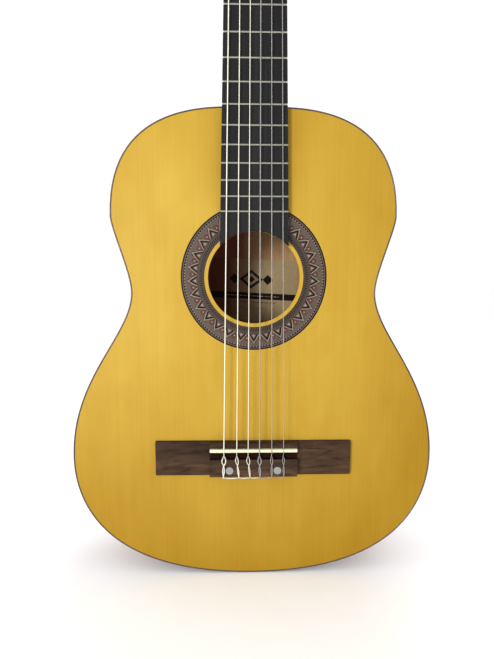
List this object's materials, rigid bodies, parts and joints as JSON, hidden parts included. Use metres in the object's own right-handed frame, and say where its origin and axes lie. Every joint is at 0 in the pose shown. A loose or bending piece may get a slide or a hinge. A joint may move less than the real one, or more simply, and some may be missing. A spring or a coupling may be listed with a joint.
{
  "type": "classical guitar",
  "caption": "Classical guitar with a hollow waisted body, round sound hole with an inlaid rosette, tie bridge, fretted neck and slotted headstock with turning tuners.",
  "frame": {"origin": "centre of the bounding box at the height of the body's tail end", "axes": "+Z along the neck towards the headstock, -Y out of the soundboard, +X towards the treble side"},
  "size_m": [0.3572, 0.1105, 0.9749],
  "materials": {
    "soundboard": "satin",
    "back_plate": "gloss",
    "rib_bass": "gloss",
    "rib_treble": "gloss",
    "binding_top": "satin",
    "binding_back": "satin",
    "tail_block": "raw",
    "heel_block": "raw",
    "rosette": "satin",
    "label": "matte",
    "neck": "satin",
    "heel_cap": "satin",
    "headstock_veneer": "satin",
    "fretboard": "satin",
    "nut": "satin",
    "bridge": "satin",
    "saddle": "satin",
    "bridge_cap_bass": "gloss",
    "bridge_cap_treble": "gloss",
    "soundboard_bracing": "raw",
    "back_bracing": "raw",
    "tuner_plate_bass": "polished",
    "tuner_plate_treble": "polished",
    "string_6_E": "polished",
    "string_5_A": "polished",
    "string_4_D": "polished",
    "string_3_G": "clear",
    "string_2_B": "clear",
    "string_1_e": "clear",
    "fret_01": "polished",
    "fret_02": "polished",
    "fret_03": "polished",
    "fret_04": "polished",
    "fret_05": "polished",
    "fret_06": "polished",
    "fret_07": "polished",
    "fret_08": "polished",
    "fret_09": "polished",
    "fret_10": "polished",
    "fret_11": "polished",
    "fret_12": "polished",
    "fret_13": "polished",
    "fret_14": "polished",
    "fret_15": "polished",
    "fret_16": "polished",
    "fret_17": "polished",
    "fret_18": "polished",
    "tuner_key_bass_1": "pearl",
    "roller_bass_1": "gloss",
    "tuner_key_bass_2": "pearl",
    "roller_bass_2": "gloss",
    "tuner_key_bass_3": "pearl",
    "roller_bass_3": "gloss",
    "tuner_key_treble_1": "pearl",
    "roller_treble_1": "gloss",
    "tuner_key_treble_2": "pearl",
    "roller_treble_2": "gloss",
    "tuner_key_treble_3": "pearl",
    "roller_treble_3": "gloss"
  },
  "bodies": {
    "frame": {"soundboard": "soundboard", "back_plate": "back_plate", "rib_bass": "rib_bass", "rib_treble": "rib_treble", "binding_top": "binding_top", "binding_back": "binding_back", "tail_block": "tail_block", "heel_block": "heel_block", "rosette": "rosette", "label": "label", "neck": "neck", "heel_cap": "heel_cap", "headstock_veneer": "headstock_veneer", "fretboard": "fretboard", "nut": "nut", "bridge": "bridge", "saddle": "saddle", "bridge_cap_bass": "bridge_cap_bass", "bridge_cap_treble": "bridge_cap_treble", "soundboard_bracing": "soundboard_bracing", "back_bracing": "back_bracing", "tuner_plate_bass": "tuner_plate_bass", "tuner_plate_treble": "tuner_plate_treble", "string_6_E": "string_6_E", "string_5_A": "string_5_A", "string_4_D": "string_4_D", "string_3_G": "string_3_G", "string_2_B": "string_2_B", "string_1_e": "string_1_e", "fret_01": "fret_01", "fret_02": "fret_02", "fret_03": "fret_03", "fret_04": "fret_04", "fret_05": "fret_05", "fret_06": "fret_06", "fret_07": "fret_07", "fret_08": "fret_08", "fret_09": "fret_09", "fret_10": "fret_10", "fret_11": "fret_11", "fret_12": "fret_12", "fret_13": "fret_13", "fret_14": "fret_14", "fret_15": "fret_15", "fret_16": "fret_16", "fret_17": "fret_17", "fret_18": "fret_18"},
    "tuner_key_bass_1_body": {"tuner_key_bass_1": "tuner_key_bass_1"},
    "roller_bass_1_body": {"roller_bass_1": "roller_bass_1"},
    "tuner_key_bass_2_body": {"tuner_key_bass_2": "tuner_key_bass_2"},
    "roller_bass_2_body": {"roller_bass_2": "roller_bass_2"},
    "tuner_key_bass_3_body": {"tuner_key_bass_3": "tuner_key_bass_3"},
    "roller_bass_3_body": {"roller_bass_3": "roller_bass_3"},
    "tuner_key_treble_1_body": {"tuner_key_treble_1": "tuner_key_treble_1"},
    "roller_treble_1_body": {"roller_treble_1": "roller_treble_1"},
    "tuner_key_treble_2_body": {"tuner_key_treble_2": "tuner_key_treble_2"},
    "roller_treble_2_body": {"roller_treble_2": "roller_treble_2"},
    "tuner_key_treble_3_body": {"tuner_key_treble_3": "tuner_key_treble_3"},
    "roller_treble_3_body": {"roller_treble_3": "roller_treble_3"}
  },
  "joints": [
    {"name": "tuner_key_bass_1_turn", "type": "hinge", "parent": "frame", "child": "tuner_key_bass_1_body", "pos_m": [-0.0415, -0.0187, 0.85132], "axis": [0, 0.9659, -0.2588], "continuous": true},
    {"name": "roller_bass_1_turn", "type": "hinge", "parent": "frame", "child": "roller_bass_1_body", "pos_m": [-0.02, -0.02093, 0.84301], "axis": [1, 0, 0], "continuous": true},
    {"name": "tuner_key_bass_2_turn", "type": "hinge", "parent": "frame", "child": "tuner_key_bass_2_body", "pos_m": [-0.0415, -0.00861, 0.88899], "axis": [0, 0.9659, -0.2588], "continuous": true},
    {"name": "roller_bass_2_turn", "type": "hinge", "parent": "frame", "child": "roller_bass_2_body", "pos_m": [-0.02, -0.01083, 0.88068], "axis": [1, 0, 0], "continuous": true},
    {"name": "tuner_key_bass_3_turn", "type": "hinge", "parent": "frame", "child": "tuner_key_bass_3_body", "pos_m": [-0.0415, 0.00149, 0.92666], "axis": [0, 0.9659, -0.2588], "continuous": true},
    {"name": "roller_bass_3_turn", "type": "hinge", "parent": "frame", "child": "roller_bass_3_body", "pos_m": [-0.02, -0.00074, 0.91835], "axis": [1, 0, 0], "continuous": true},
    {"name": "tuner_key_treble_1_turn", "type": "hinge", "parent": "frame", "child": "tuner_key_treble_1_body", "pos_m": [0.0415, -0.0187, 0.85132], "axis": [0, 0.9659, -0.2588], "continuous": true},
    {"name": "roller_treble_1_turn", "type": "hinge", "parent": "frame", "child": "roller_treble_1_body", "pos_m": [0.02, -0.02093, 0.84301], "axis": [1, 0, 0], "continuous": true},
    {"name": "tuner_key_treble_2_turn", "type": "hinge", "parent": "frame", "child": "tuner_key_treble_2_body", "pos_m": [0.0415, -0.00861, 0.88899], "axis": [0, 0.9659, -0.2588], "continuous": true},
    {"name": "roller_treble_2_turn", "type": "hinge", "parent": "frame", "child": "roller_treble_2_body", "pos_m": [0.02, -0.01083, 0.88068], "axis": [1, 0, 0], "continuous": true},
    {"name": "tuner_key_treble_3_turn", "type": "hinge", "parent": "frame", "child": "tuner_key_treble_3_body", "pos_m": [0.0415, 0.00149, 0.92666], "axis": [0, 0.9659, -0.2588], "continuous": true},
    {"name": "roller_treble_3_turn", "type": "hinge", "parent": "frame", "child": "roller_treble_3_body", "pos_m": [0.02, -0.00074, 0.91835], "axis": [1, 0, 0], "continuous": true}
  ],
  "couplings": [
    {"joint": "roller_bass_1_turn", "follows": "tuner_key_bass_1_turn", "ratio": -0.0625},
    {"joint": "roller_bass_2_turn", "follows": "tuner_key_bass_2_turn", "ratio": -0.0625},
    {"joint": "roller_bass_3_turn", "follows": "tuner_key_bass_3_turn", "ratio": -0.0625},
    {"joint": "roller_treble_1_turn", "follows": "tuner_key_treble_1_turn", "ratio": 0.0625},
    {"joint": "roller_treble_2_turn", "follows": "tuner_key_treble_2_turn", "ratio": 0.0625},
    {"joint": "roller_treble_3_turn", "follows": "tuner_key_treble_3_turn", "ratio": 0.0625}
  ]
}
